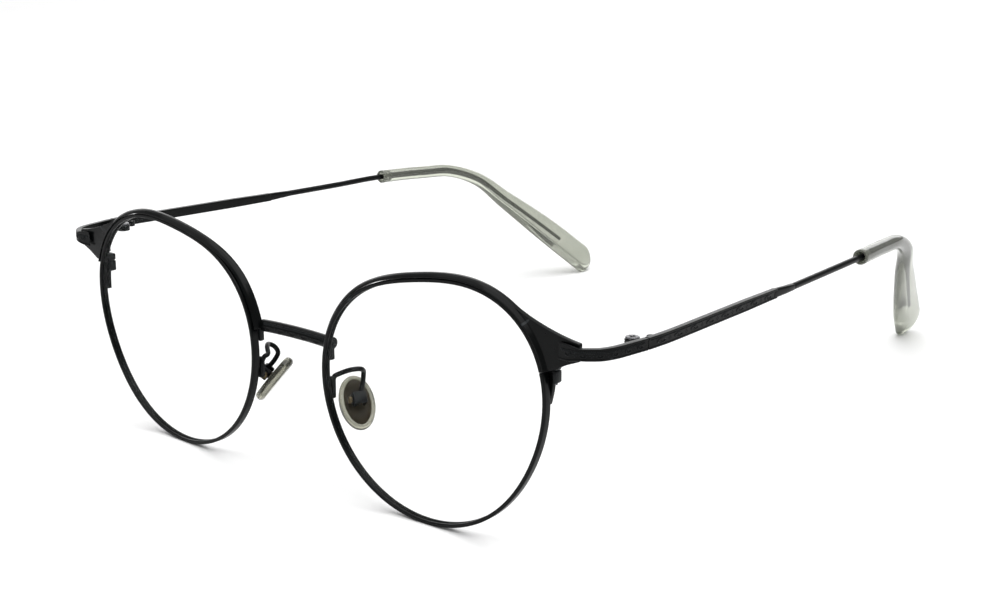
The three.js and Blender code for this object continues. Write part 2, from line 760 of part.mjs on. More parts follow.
function templeGroup(side) {
  const group = new THREE.Group();
  group.add(
    piece(side, 'temple_bar', templeBar(), blackMetal()),
    piece(side, 'temple_wire', wireThrough(WIRE_PLACES), blackMetal()),
    piece(side, 'temple_tip', templeTip(), clearTip()),
  );
  return group;
}

/** Everything in the frame of the front, before it is stood on the table. */
function openGlasses() {
  const glasses = new THREE.Group();
  const tube = new THREE.Mesh(bridge(), blackMetal());
  tube.name = 'bridge';
  glasses.add(tube);
  for (const side of SIDES) {
    glasses.add(
      eyeGroup(side),
      padGroup(side),
      hingeGroup(side),
      templeGroup(side),
      piece(side, 'pad_arm', padArm(), blackMetal()),
      piece(side, 'endpiece', endpiece(), blackMetal()),
    );
  }
  return glasses;
}

/** Leans the glasses back onto their tips and puts the origin under the middle of their box. */
function standOnTable(glasses) {
  glasses.rotation.x = -REST_TILT;
  glasses.updateMatrixWorld(true);
  const box = new THREE.Box3().setFromObject(glasses, true);
  const middle = box.getCenter(new Vector3());
  glasses.position.set(-middle.x, -middle.y, -box.min.z);
  return glasses;
}

const group = standOnTable(openGlasses());

export default group;
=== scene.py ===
"""Round wire eyeglasses: the looks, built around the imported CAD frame."""
import math

import bmesh
import bpy
import numpy as np
from mathutils import Matrix, Vector


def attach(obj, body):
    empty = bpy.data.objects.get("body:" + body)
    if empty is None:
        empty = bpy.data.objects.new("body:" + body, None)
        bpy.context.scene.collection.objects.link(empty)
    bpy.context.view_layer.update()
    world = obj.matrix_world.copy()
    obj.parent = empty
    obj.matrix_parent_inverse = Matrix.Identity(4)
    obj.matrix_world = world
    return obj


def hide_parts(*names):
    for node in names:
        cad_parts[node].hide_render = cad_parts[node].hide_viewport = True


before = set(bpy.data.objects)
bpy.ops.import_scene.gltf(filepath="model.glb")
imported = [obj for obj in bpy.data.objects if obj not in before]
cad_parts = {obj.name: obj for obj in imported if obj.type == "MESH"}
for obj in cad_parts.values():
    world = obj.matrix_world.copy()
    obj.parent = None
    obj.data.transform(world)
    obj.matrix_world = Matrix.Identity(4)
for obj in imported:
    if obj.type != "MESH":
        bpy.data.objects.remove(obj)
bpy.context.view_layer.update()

# ---------------------------------------------------------------- dimensions, in millimetres, as in the CAD

GAP = 0.1
REST_TILT = math.radians(1.29)
TABLE_ORIGIN = (0.0, -78.0226, 24.0334)  # where the front's own origin lies in the row frame
EYE_CENTRE = 35.4
FACE_WRAP = math.radians(2.7)
RIM_RADIUS = 24.3
RIM_WALL = 0.76
RIM_DEPTH = 1.6
SPLIT_ANGLE = 21.7
LENS_CURVE = 118.0
LENS_THICKNESS = 0.92
BROW_WIDTH = 0.84
BROW_RIDGE = -0.95
BROW_SETBACK = 0.9
WING_FRONT = -0.25
WING_BACK = 0.78
FLANGE_BACK = 2.0
WING_END = 32.1
WING_TOP = 16.0
WING_BOTTOM = 12.9
PAD_CENTRE = (11.56, 5.0, -7.2)
PAD_SPLAY = math.radians(60.6)
PAD_LEAN = math.radians(38.8)
PAD_LENGTH = 11.1
PAD_WIDTH = 7.0
PAD_THICKNESS = 1.9
CORE_WIDTH = 5.1
CORE_LENGTH = 9.2
PAD_PIVOT = -1.95
PAD_ARM_RADIUS = 0.48
BAR_HEIGHT = 2.1
BAR_START_HEIGHT = 3.0
BAR_THICKNESS = 1.2
BAR_Z = 14.45
HINGE = (69.3, 13.7, 0.0)
FOLD_LINE = 13.0
BARREL_BOTTOM = 13.3
BARREL_TOP = 14.55
WIRE_RADIUS = 0.67
CORE_RADIUS = 0.46
TIP_RADIUS = 1.6
PADDLE_WIDTH = 8.66
PADDLE_THICKNESS = 3.1
PADDLE_TWIST = math.radians(31)

CORNER_POINTS = [
    (63.7, 0.4), (66.0, 0.27), (67.5, 0.32), (68.5, 0.66), (69.7, 1.5),
    (70.9, 2.6), (71.75, 4.15), (72.34, 6.15), (72.86, 9.7), (73.28, FOLD_LINE - GAP),
]
BAR_FACE = [
    (73.28, FOLD_LINE + GAP, BAR_Z), (73.38, 16, 14.4), (73.28, 20, 14.3),
    (72.72, 30, 14.1), (72.12, 40, 13.9), (71.04, 58, 13.55),
]
TEMPLE_POINTS = [
    (70.42, 64.4, 13.46), (69.5, 79, 13.32), (68.6, 94.4, 13.25), (66.6, 108.2, 12.65),
    (65.1, 117.6, 11.75), (62.75, 126.4, 8.2), (59.55, 133.1, 2.3), (56.35, 140.4, -3.85),
    (52.95, 148.55, -10.8), (50.3, 155.8, -17.0),
]
MOUTH, CORE_END, PADDLE_START = 2, 8, 4  # places along the temple points
SHOULDER = [  # x, y, z, width and height at places along the temple bar's shoulder
    (70.47, 56.9, 13.57, 1.1, 1.7), (70.44, 58.35, 13.55, 1.15, 1.8), (70.5, 61, 13.5, 1.24, 1.6),
]
SHOULDER_HEIGHT = 1.85  # of the flat bar where it meets the shoulder
PADDLE_CAP = 3.1  # how far the rounded end reaches past the last temple point
KNUCKLE_RADIUS = 1.4
BORE_RADIUS = 0.6
LEAF_INNER, LEAF_OUTER = 1.3, 2.5
PAD_ARM_POINTS = [
    (10.0, 0.35, -2.4), (9.8, 0.95, -1.3), (9.95, 2.05, -1.0), (11.7, 3.5, -0.2),
    (12.8, 4.9, -0.15), (12.4, 6.1, -0.9), (11.95, 6.5, -2.1), (12.25, 5.95, -3.4),
    (12.75, 4.97, -4.62),
]

# ---------------------------------------------------------------- places

TO_METRES = Matrix.Scale(0.001, 4)
WORLD = TO_METRES @ Matrix.Translation(TABLE_ORIGIN) @ Matrix.Rotation(-REST_TILT, 4, "X")
FRONT = Matrix.Identity(4)
EYE = Matrix.Translation((EYE_CENTRE, 0, 0)) @ Matrix.Rotation(FACE_WRAP, 4, "Z")
PAD = (Matrix.Translation(PAD_CENTRE) @ Matrix.Rotation(PAD_SPLAY, 4, "Z")
       @ Matrix.Rotation(-PAD_LEAN, 4, "X"))
HINGE_PIN = Matrix.Translation(HINGE)
SIDES = {"left": Matrix.Identity(4), "right": Matrix.Diagonal((-1, 1, 1, 1))}

# ---------------------------------------------------------------- geometry helpers
# A shape is (points, faces): an array of points in millimetres and lists of point numbers.


def unit(vector):
    vector = np.asarray(vector, float)
    return vector / np.linalg.norm(vector, axis=-1, keepdims=True)


def smoothstep(value, low, high):
    t = np.clip((value - low) / (high - low), 0, 1)
    return t * t * (3 - 2 * t)


def mix(a, b, t):
    return a + (b - a) * t


def merge(*shapes):
    points, faces, first = [], [], 0
    for shape_points, shape_faces in shapes:
        points.append(np.asarray(shape_points, float))
        faces += [[first + i for i in face] for face in shape_faces]
        first += len(shape_points)
    return np.concatenate(points), faces


def moved(shape, matrix):
    points = np.asarray(shape[0], float)
    rows = np.array(matrix)
    return points @ rows[:3, :3].T + rows[:3, 3], shape[1]


def loft(rings, caps=True):
    """Closed body through rings of points in matching order."""
    rings = [np.asarray(ring, float) for ring in rings]
    sides = len(rings[0])
    faces = []
    for r in range(len(rings) - 1):
        for s in range(sides):
            a, b = r * sides + s, r * sides + (s + 1) % sides
            faces.append([a, b, b + sides, a + sides])
    if caps:
        faces.append(list(range(sides))[::-1])
        faces.append(list(range((len(rings) - 1) * sides, len(rings) * sides)))
    return np.concatenate(rings), faces


def round_ends(rings, radius, steps=3):
    """Rings with both ends of the loft rounded over."""
    out = [np.asarray(ring, float) for ring in rings]

    def cap(ring, inner):
        centre = ring.mean(0)
        ahead = unit(centre - inner.mean(0))
        outward = unit(ring - centre)
        turns = [k / steps * math.pi / 2 for k in range(steps + 1)]
        return [ring - ahead * radius * (1 - math.sin(t)) - outward * radius * (1 - math.cos(t))
                for t in turns]

    start, end = cap(out[0], out[1]), cap(out[-1], out[-2])
    return start[::-1] + out[1:-1] + end


def fillet(corners, radius, segments=4):
    """Polygon with rounded corners; the radius is one number, or one for each corner."""
    count = len(corners)
    radii = radius if isinstance(radius, (list, tuple)) else [radius] * count
    points = []
    for i in range(count):
        here = np.array(corners[i], float)
        before, after = np.array(corners[i - 1]) - here, np.array(corners[(i + 1) % count]) - here
        if radii[i] <= 0:
            points.append(here)
            continue
        longest = 0.48 * min(np.linalg.norm(before), np.linalg.norm(after))
        before, after = unit(before), unit(after)
        half = math.acos(np.clip(before @ after, -1, 1)) / 2
        reach = min(radii[i] / max(math.tan(half), 1e-3), longest)
        for k in range(segments + 1):
            t = k / segments
            points.append(here + (1 - t) ** 2 * before * reach + t * t * after * reach)
    return np.array(points)


def circle(radius, sides):
    turn = np.arange(sides) / sides * 2 * math.pi
    return np.stack([radius * np.cos(turn), radius * np.sin(turn)], 1)


class Curve:
    """Smooth curve through points, spaced as the CAD's centripetal curve is."""

    def __init__(self, points):
        self.points = [np.array(p, float) for p in points]

    def at(self, t):
        points, last = self.points, len(self.points) - 1
        place = min(max(t, 0), 1) * last
        i = min(int(place), last - 1)
        w = place - i
        p1, p2 = points[i], points[i + 1]
        p0 = points[i - 1] if i > 0 else 2 * points[0] - points[1]
        p3 = points[i + 2] if i + 2 <= last else 2 * points[last] - points[last - 1]
        d0, d1, d2 = [max(np.linalg.norm(b - a), 1e-6) ** 0.5 for a, b in ((p0, p1), (p1, p2), (p2, p3))]
        m1 = ((p1 - p0) / d0 - (p2 - p0) / (d0 + d1) + (p2 - p1) / d1) * d1
        m2 = ((p2 - p1) / d1 - (p3 - p1) / (d1 + d2) + (p3 - p2) / d2) * d1
        return (p1 * (2 * w ** 3 - 3 * w ** 2 + 1) + m1 * (w ** 3 - 2 * w ** 2 + w)
                + p2 * (3 * w ** 2 - 2 * w ** 3) + m2 * (w ** 3 - w ** 2))

    def tangent(self, t):
        step = 1e-4
        return unit(self.at(min(t + step, 1)) - self.at(max(t - step, 0)))

    def line(self, start, end, steps):
        ts = np.linspace(start, end, steps + 1)
        return [(self.at(t), self.tangent(t)) for t in ts]

    def by_length(self, steps=400):
        """Distances along the curve, with the matching values of t."""
        ts = np.linspace(0, 1, steps + 1)
        points = np.array([self.at(t) for t in ts])
        run = np.concatenate([[0], np.cumsum(np.linalg.norm(np.diff(points, axis=0), axis=1))])
        return run, ts


def level_frame(tangent):
    """Level direction to the outer side of a path, and the direction that rises across it."""
    level = unit((tangent[1], -tangent[0], 0))
    return level, np.cross(level, tangent)


def across(section, point, tangent):
    level, rise = level_frame(tangent)
    return point + np.outer(section[:, 0], level) + np.outer(section[:, 1], rise)


def tube(path, radius, sides=20, rounding=0.0):
    """Round wire through a list of (point, tangent), without twist; the radius may change along it."""
    section = circle(1, sides)
    normal = unit(np.cross(path[0][1], (0.3, 0.2, 1)))
    rings = []
    for (point, tangent), reach in zip(path, np.broadcast_to(radius, len(path))):
        normal = unit(normal - tangent * (normal @ tangent))
        side = np.cross(tangent, normal)
        rings.append(point + reach * (np.outer(section[:, 0], normal) + np.outer(section[:, 1], side)))
    return loft(round_ends(rings, rounding) if rounding else rings)


def plate(outline, low, high, axis="Y", bevel=0.12, segments=2):
    """Plate with bevelled edges: its outline lies across the axis, and it reaches from low to high."""
    bm = bmesh.new()
    place = {"Y": lambda p, h: (p[0], h, p[1]), "Z": lambda p, h: (p[0], p[1], h)}[axis]
    base = bm.faces.new([bm.verts.new(place(p, low)) for p in outline])
    grown = bmesh.ops.extrude_face_region(bm, geom=[base])
    shift = Vector(place((0, 0), high - low))
    top = [v for v in grown["geom"] if isinstance(v, bmesh.types.BMVert)]
    bmesh.ops.translate(bm, verts=top, vec=shift)
    bmesh.ops.recalc_face_normals(bm, faces=bm.faces)
    edges = [e for e in bm.edges if e.calc_face_angle(0) > math.radians(20)]
    bmesh.ops.bevel(bm, geom=edges, offset=bevel, segments=segments, profile=0.5, affect="EDGES")
    return from_bmesh(bm)


def from_bmesh(bm):
    bm.verts.index_update()
    points = np.array([v.co[:] for v in bm.verts])
    faces = [[v.index for v in f.verts] for f in bm.faces]
    bm.free()
    return points, faces


def brick(low, high, bevel=0.12):
    corners = [(low[0], low[2]), (high[0], low[2]), (high[0], high[2]), (low[0], high[2])]
    return plate(corners, low[1], high[1], bevel=bevel)


def turned(profile, sides=48, recess=None, depth=0.0):
    """Body turned about Z from (radius, height) pairs, bottom first; a recess is cut in its top."""
    angles = np.arange(sides) / sides * 2 * math.pi
    ring = lambda radii, z: np.stack([radii * np.cos(angles), radii * np.sin(angles), np.full(sides, z)], 1)
    rings = [ring(np.full(sides, max(r, 1e-3)), z) for r, z in profile]
    if recess:
        radii = np.array([recess(a) for a in angles])
        top = profile[-1][1]
        rings += [ring(radii + 0.03, top), ring(radii, top - 0.03), ring(radii * 0.86, top - depth)]
    return loft(rings)


def phillips(length, width):
    def radius(angle):
        c, s = max(abs(math.cos(angle)), 1e-4), max(abs(math.sin(angle)), 1e-4)
        return max(min(length / c, width / s), min(width / c, length / s))
    return radius


def slotted(length, width):
    def radius(angle):
        c, s = max(abs(math.cos(angle)), 1e-4), max(abs(math.sin(angle)), 1e-4)
        return min(length / c, width / s)
    return radius


def bead_shape():
    bm = bmesh.new()
    bmesh.ops.create_icosphere(bm, subdivisions=2, radius=1)
    return from_bmesh(bm)


BEAD = bead_shape()


def bead(centre, radius):
    return BEAD[0] * radius + np.asarray(centre), BEAD[1]


def oval_wire(centre, along, up, half_length, half_height, radius, steps=30, sides=8):
    """Small closed ring of wire laid on a face."""
    out = np.cross(along, up)
    rings = []
    for k in range(steps):
        turn = k / steps * 2 * math.pi
        spoke = unit(along * math.cos(turn) / half_length + up * math.sin(turn) / half_height)
        middle = centre + along * half_length * math.cos(turn) + up * half_height * math.sin(turn)
        section = circle(radius, sides)
        rings.append(middle + np.outer(section[:, 0], spoke) + np.outer(section[:, 1], out))
    points, faces = loft(rings + rings[:1], caps=False)
    count = steps * sides
    return points[:count], [[i % count for i in face] for face in faces]


# ---------------------------------------------------------------- materials


def node_tools(name):
    material = bpy.data.materials.new(name)
    material.use_nodes = True
    tree = material.node_tree
    shader = tree.nodes["Principled BSDF"]

    def add(kind, **values):
        node = tree.nodes.new(kind)
        for key, value in values.items():
            if hasattr(node, key):
                setattr(node, key, value)
            else:
                node.inputs[key.replace("_", " ")].default_value = value
        return node

    return material, tree.links.new, shader, add


def set_shader(shader, **values):
    for key, value in values.items():
        shader.inputs[key.replace("_", " ")].default_value = value


def noise(add, link, scale, detail=3.0, stretch=None):
    """Noise in the object's own space, in cells to the metre."""
    where = add("ShaderNodeTexCoord")
    texture = add("ShaderNodeTexNoise")
    texture.inputs["Scale"].default_value = scale
    texture.inputs["Detail"].default_value = detail
    source = where.outputs["Object"]
    if stretch:
        mapping = add("ShaderNodeMapping")
        mapping.inputs["Scale"].default_value = stretch
        link(source, mapping.inputs["Vector"])
        source = mapping.outputs["Vector"]
    link(source, texture.inputs["Vector"])
    return texture.outputs["Fac"]


def ramp(add, link, value, low, high, start=0.3, end=0.7):
    node = add("ShaderNodeValToRGB")
    node.color_ramp.elements[0].position = start
    node.color_ramp.elements[1].position = end
    node.color_ramp.elements[0].color = (*low, 1) if len(low) == 3 else low
    node.color_ramp.elements[1].color = (*high, 1) if len(high) == 3 else high
    link(value, node.inputs["Fac"])
    return node.outputs["Color"]


def bump(add, link, shader, height, strength, distance):
    node = add("ShaderNodeBump")
    node.inputs["Strength"].default_value = strength
    node.inputs["Distance"].default_value = distance
    link(height, node.inputs["Height"])
    link(node.outputs["Normal"], shader.inputs["Normal"])


def black_paint():
    """Satin black coat over metal, with a faint orange-peel; convex edges and the small beads are painted
    lighter, partly as rubbed wear and partly as a painted highlight.
    """
    material, link, shader, add = node_tools("black_paint")
    set_shader(shader, Metallic=0.0, IOR=1.5, Specular_IOR_Level=0.05, Coat_Weight=0.15, Coat_Roughness=0.08)
    tone = ramp(add, link, noise(add, link, 420, 4), (0.0016, 0.002, 0.0021), (0.0034, 0.004, 0.0042))
    # Lighter colour on sharp convex edges and beads: partly rubbed paint, partly a painted highlight
    # standing in for glints
    edge_wear_and_highlight = add("ShaderNodeNewGeometry")
    edge = ramp(add, link, edge_wear_and_highlight.outputs["Pointiness"], (0, 0, 0), (1, 1, 1), 0.54, 0.66)
    wear_and_highlight_mix = add("ShaderNodeMixRGB")
    wear_and_highlight_mix.inputs["Color2"].default_value = (0.03, 0.034, 0.036, 1)
    link(edge, wear_and_highlight_mix.inputs["Fac"])
    link(tone, wear_and_highlight_mix.inputs["Color1"])
    link(wear_and_highlight_mix.outputs["Color"], shader.inputs["Base Color"])
    rough = ramp(add, link, noise(add, link, 900, 3), (0.27, 0.27, 0.27), (0.38, 0.38, 0.38))
    link(rough, shader.inputs["Roughness"])
    bump(add, link, shader, noise(add, link, 2600, 2), 0.12, 0.00003)
    return material


def screw_metal(name, dark, light, rough):
    """Turned metal with fine scratches."""
    material, link, shader, add = node_tools(name)
    set_shader(shader, Metallic=1.0)
    tone = ramp(add, link, noise(add, link, 1500, 4, (1, 1, 6)), dark, light)
    link(tone, shader.inputs["Base Color"])
    spread = ramp(add, link, noise(add, link, 3000, 2), (rough - 0.06,) * 3, (rough + 0.08,) * 3)
    link(spread, shader.inputs["Roughness"])
    bump(add, link, shader, noise(add, link, 5000, 2, (1, 1, 8)), 0.15, 0.00002)
    return material


def clear_plastic(name, low, high, rough, transmission, scale=260, ior=1.47):
    """Translucent plastic: slight clouding in its colour and a soft skin."""
    material, link, shader, add = node_tools(name)
    set_shader(shader, IOR=ior, Transmission_Weight=transmission, Specular_IOR_Level=0.35)
    tone = ramp(add, link, noise(add, link, scale, 3), low, high)
    link(tone, shader.inputs["Base Color"])
    cloud = ramp(add, link, noise(add, link, scale * 4, 2), (rough * 0.8,) * 3, (rough * 1.25,) * 3)
    link(cloud, shader.inputs["Roughness"])
    bump(add, link, shader, noise(add, link, 1400, 2), 0.06, 0.00004)
    return material


def lens_plastic():
    """Thin clear demonstration lens: only a trace of haze and gloss can be seen."""
    material, link, shader, add = node_tools("lens_plastic")
    set_shader(shader, IOR=1.5)
    tone = ramp(add, link, noise(add, link, 60, 2), (0.30, 0.33, 0.32), (0.4, 0.43, 0.42))
    link(tone, shader.inputs["Base Color"])
    spread = ramp(add, link, noise(add, link, 500, 3), (0.03, 0.03, 0.03), (0.06, 0.06, 0.06))
    link(spread, shader.inputs["Roughness"])
    haze = ramp(add, link, noise(add, link, 90, 3), (0.004, 0.004, 0.004), (0.014, 0.014, 0.014))
    link(haze, shader.inputs["Alpha"])
    return material


def insert_plastic():
    material, link, shader, add = node_tools("insert_plastic")
    set_shader(shader, IOR=1.45, Specular_IOR_Level=0.1, Coat_Weight=0.05, Coat_Roughness=0.1)
    tone = ramp(add, link, noise(add, link, 700, 4), (0.022, 0.017, 0.009), (0.04, 0.032, 0.019))
    link(tone, shader.inputs["Base Color"])
    spread = ramp(add, link, noise(add, link, 1800, 3), (0.35, 0.35, 0.35), (0.55, 0.55, 0.55))
    link(spread, shader.inputs["Roughness"])
    bump(add, link, shader, noise(add, link, 2200, 3), 0.25, 0.00004)
    return material


def floor_paper():
    material, link, shader, add = node_tools("floor_paper")
    set_shader(shader, IOR=1.3, Roughness=0.9, Specular_IOR_Level=0.1)
    tone = ramp(add, link, noise(add, link, 3, 2), (0.93, 0.93, 0.93), (0.96, 0.96, 0.96))
    link(tone, shader.inputs["Base Color"])
    return material


BLACK = black_paint()
STEEL = screw_metal("screw_steel_look", (0.06, 0.06, 0.065), (0.16, 0.16, 0.17), 0.3)
BRASS = screw_metal("screw_brass_look", (0.07, 0.055, 0.033), (0.17, 0.135, 0.08), 0.3)
TIP = clear_plastic("tip_plastic", (0.45, 0.47, 0.4), (0.5, 0.52, 0.445), 0.1, 0.8)
PAD_GEL = clear_plastic("pad_gel", (0.25, 0.25, 0.195), (0.34, 0.335, 0.27), 0.09, 0.9)
LENS = lens_plastic()
INSERT = insert_plastic()

# ---------------------------------------------------------------- pieces

BODY = {
    "hinge_temple": "temple_arm", "temple_bar": "temple_arm", "temple_wire": "temple_arm",
    "temple_tip": "temple_arm", "nose_pad": "pad", "pad_core": "pad",
}


def make_object(name, shape, matrix, material, sharp=38):
    points, faces = moved(shape, matrix)
    mesh = bpy.data.meshes.new(name)
    mesh.from_pydata([tuple(p) for p in points], [], faces)
    bm = bmesh.new()
    bm.from_mesh(mesh)
    bmesh.ops.dissolve_degenerate(bm, dist=1e-8, edges=bm.edges)
    bmesh.ops.recalc_face_normals(bm, faces=bm.faces)
    bm.to_mesh(mesh)
    bm.free()
    mesh.shade_smooth()
    mesh.set_sharp_from_angle(angle=math.radians(sharp))
    mesh.materials.append(material)
    obj = bpy.data.objects.new(name, mesh)
    bpy.context.scene.collection.objects.link(obj)
    return obj


def add_pair(node, shape, group, material, sharp=38):
    """The shape on both sides of the face, standing for the two CAD nodes of that name."""
    for side, mirror in SIDES.items():
        name = f"{side}_{node}"
        obj = make_object(name + "_look", shape, WORLD @ mirror @ group, material, sharp)
        body = BODY.get(node)
        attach(obj, f"{side}_{body}" if body else "front")
        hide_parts(name)


# ---- eyewire, lens and brow bar, in the eye's frame


def rim_point(degrees, offset, depth):
    """Points beside the eyewire's centre line; any argument may be an array."""
    def at(a):
        r = (RIM_RADIUS + 1.24 * np.cos(2 * a) + 1.05 * np.sin(2 * a) - 0.33 * np.cos(3 * a)
             + 0.81 * np.sin(3 * a) - 0.26 * np.cos(4 * a))
        return np.stack([r * np.cos(a), r * np.sin(a)], -1)
    angle = np.radians(degrees)
    along = unit(at(angle + 1e-3) - at(angle - 1e-3))
    middle = at(angle)
    x = middle[..., 0] + along[..., 1] * offset
    z = middle[..., 1] - along[..., 0] * offset
    return np.stack([x, np.broadcast_to(depth, np.shape(x)), z], -1)


def eyewire():
    outer, half = RIM_WALL / 2 - 0.004, RIM_DEPTH / 2
    corners = [(outer, -half), (outer, half), (-outer, half), (-outer, 0.45), (-0.08, 0), (-outer, -0.45),
               (-outer, -half)]
    section = fillet(corners, [0.24, 0.2, 0.14, 0.05, 0.08, 0.05, 0.2], 4)
    angles = np.linspace(SPLIT_ANGLE + 0.08, SPLIT_ANGLE + 360 - 0.08, 300)
    rings = [rim_point(a, section[:, 0], section[:, 1]) for a in angles]
    return loft(round_ends(rings, 0.05, 2))


def lens_shape():
    steps = 160
    shoulder = -RIM_WALL / 2 - 0.25
    turn = np.arange(steps) / steps * 360
    sag = lambda r: (r ** 2 - RIM_RADIUS ** 2) / (2 * LENS_CURVE)
    edge = rim_point(turn, shoulder, 0.0)
    groove = rim_point(turn, -0.25, 0.0)

    def dome(scale, side):
        ring = edge * scale
        ring[:, 1] = sag(np.hypot(ring[:, 0], ring[:, 2])) + side * LENS_THICKNESS / 2
        return ring

    def lip(depth):
        ring = edge.copy()
        ring[:, 1] = depth
        return ring

    scales = [0.02, 0.2, 0.4, 0.6, 0.75, 0.87, 0.95, 0.985]
    return loft([dome(s, -1) for s in scales] + [lip(-0.42), groove, lip(0.42)]
                + [dome(s, 1) for s in scales[::-1]])


def bezier(points, steps):
    a, b, c, d = [np.array(p, float) for p in points]
    t = np.linspace(0, 1, steps + 1)[:, None]
    return (1 - t) ** 3 * a + 3 * t * (1 - t) ** 2 * b + 3 * t * t * (1 - t) * c + t ** 3 * d


def wing_reach(degrees, outline):
    """How far the wing's outline is from the eyewire, straight outwards at an angle."""
    start = rim_point(degrees, 0, 0)[[0, 2]]
    away = unit(rim_point(degrees, 1, 0)[[0, 2]] - start)
    best = 0
    for p, q in zip(outline[:-1], outline[1:]):
        edge = q - p
        cross = away[0] * edge[1] - away[1] * edge[0]
        if abs(cross) < 1e-9:
            continue
        gap = p - start
        t = (gap[0] * edge[1] - gap[1] * edge[0]) / cross
        s = (gap[0] * away[1] - gap[1] * away[0]) / cross
        if -1e-6 <= s <= 1 + 1e-6 and t > best:
            best = t
    return best


def brow_bar():
    """Ridged bar over the eyewire that widens into the flat wing, with a groove beside the eyewire."""
    lower, upper, nasal = SPLIT_ANGLE + 0.12, 52, 169.5
    inner = RIM_WALL / 2 + GAP
    outer = inner + BROW_WIDTH - 0.02
    flat = lambda angle, offset: rim_point(angle, offset, 0)[[0, 2]]
    top = bezier([flat(upper, outer), (19.5, 19.3), (26.5, 16.7), (WING_END, WING_TOP)], 240)
    bottom = bezier([(WING_END, WING_BOTTOM), (29.7, 12.2), (28.4, 11.3), flat(lower, inner + 1.9)], 120)
    outline = np.concatenate([top, bottom])
    rings = []
    angles = np.concatenate([np.linspace(lower, upper, 110), np.linspace(upper, nasal, 131)[1:]])
    widths = np.array([max(wing_reach(a, outline), outer) if a < upper else outer for a in angles])
    softened = np.convolve(np.pad(widths, 8, mode="edge"), np.ones(17) / 17, mode="valid")
    widths = np.where((angles > 42) & (angles < 64), softened, widths)
    for angle, width in zip(angles, widths):
        setback = BROW_SETBACK * smoothstep(angle, 112, 150)
        flatness = 1 - smoothstep(angle, 40, 62)
        ridge = BROW_RIDGE + 0.8 * setback
        slope_end = inner + mix(0.62, 0.78, flatness)
        crease = mix(BROW_RIDGE * 0.5, WING_FRONT, flatness) + 0.65 * setback
        back = mix(0.7, WING_BACK, flatness) + setback
        corners = [
            (inner, ridge), (inner + 0.26, ridge), (slope_end, crease),
            (width, mix(0.0, WING_FRONT, flatness) + 0.5 * setback), (width, back), (inner, back),
        ]
        section = fillet(corners, [0.09, 0.1, 0.25, 0.16, 0.14, 0.1], 4)
        rings.append(rim_point(angle, section[:, 0], section[:, 1]))
    low = [p for p in bottom if p[0] > 27.2]
    flange = plate(low + [p + (0, 1) for p in reversed(low)], WING_BACK - 0.3, FLANGE_BACK, bevel=0.15)
    return merge(loft(round_ends(rings, 0.12)), flange)


SPLIT_HEIGHT = 10.0
BLOCK_FRONT = RIM_DEPTH / 2 + GAP
BLOCK_BACK = 2.7
TAIL_BACK = 1.8
TAIL_END = 8.5
RIM_SCREW = Matrix.Translation((25.9, 1.8, 0))


def lower_block():
    """Lower half of the rim lock, with a tail that tapers down the back of the eyewire."""
    start = SPLIT_ANGLE - 0.45
    rings = []
    for angle in np.linspace(start, TAIL_END, 30):
        outer = RIM_WALL / 2 + mix(1.2, -0.45, (start - angle) / (start - TAIL_END))
        inner = -RIM_WALL / 2
        corners = [(inner, BLOCK_FRONT), (outer, BLOCK_FRONT), (outer, TAIL_BACK), (inner, TAIL_BACK)]
        section = fillet(corners, 0.12, 3)
        rings.append(rim_point(angle, section[:, 0], section[:, 1]))
    body = brick((24, BLOCK_FRONT, 7.7), (26.7, BLOCK_BACK, SPLIT_HEIGHT - 0.02), 0.3)
    return merge(body, loft(round_ends(rings, 0.06, 2)))


def build_eyes():
    add_pair("rim", eyewire(), EYE, BLACK)
    add_pair("lens", lens_shape(), EYE, LENS, 30)
    add_pair("brow_bar", brow_bar(), EYE, BLACK, 42)
    upper = brick((24, BLOCK_FRONT, SPLIT_HEIGHT + 0.02), (26.7, BLOCK_BACK, 11.45), 0.3)
    add_pair("closing_block_upper", upper, EYE, BLACK)
    add_pair("closing_block_lower", lower_block(), EYE, BLACK)
    profile = [(0.3, 7.3), (0.42, 7.4), (0.42, 11.75), (0.8, 11.78), (0.85, 11.9), (0.82, 12.12),
               (0.7, 12.2)]
    add_pair("rim_screw", turned(profile, 48, slotted(0.62, 0.13), 0.2), EYE @ RIM_SCREW, STEEL)


# ---- bridge, in the frame of the front


def bridge():
    half, height, back, radius = 9.95, 5.2, 0.9, 1.2
    path = Curve([(x, back, height + 0.3 * (1 - (x / half) ** 2)) for x in np.linspace(-half, half, 9)])
    shapes = [tube(path.line(0, 1, 48), radius, 40, 0.3)]
    for sign in (1, -1):
        xs = sorted([9.3 * sign, 10.3 * sign])
        shapes.append(brick((xs[0], -0.25, 2.2), (xs[1], 0.85, height), 0.22))

    def on_tube(x, turn):
        point = path.at((x + half) / (2 * half))
        return point + radius * np.array((0, -math.cos(turn), math.sin(turn)))

    for row, turn in enumerate((0.72, 0.5)):
        for k in range(44):
            shapes.append(bead(on_tube(-8.3 + (k + row / 2) * 0.38, turn), 0.15))
    face = -0.12
    for k in range(5):
        centre = on_tube(-6.6 + 3.3 * k, face)
        up = np.array((0, math.sin(-face), math.cos(face)))
        shapes.append(oval_wire(centre, np.array((1.0, 0, 0)), up, 0.95, 0.34, 0.1))
        if k < 4:
            shapes += [bead(on_tube(-4.95 + 3.3 * k, face + d), 0.12) for d in (-0.2, 0.0, 0.2)]
    obj = make_object("bridge_look", merge(*shapes), WORLD, BLACK)
    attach(obj, "front")
    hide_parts("bridge")


# ---- nose pads, in the pad's frame


def oval_rings(rows, sides=72):
    """Rings from (half width, half length, depth) rows, in the pad's frame."""
    angles = np.arange(sides) / sides * 2 * math.pi
    return [np.stack([a * np.cos(angles), np.full(sides, d), b * np.sin(angles)], 1) for a, b, d in rows]


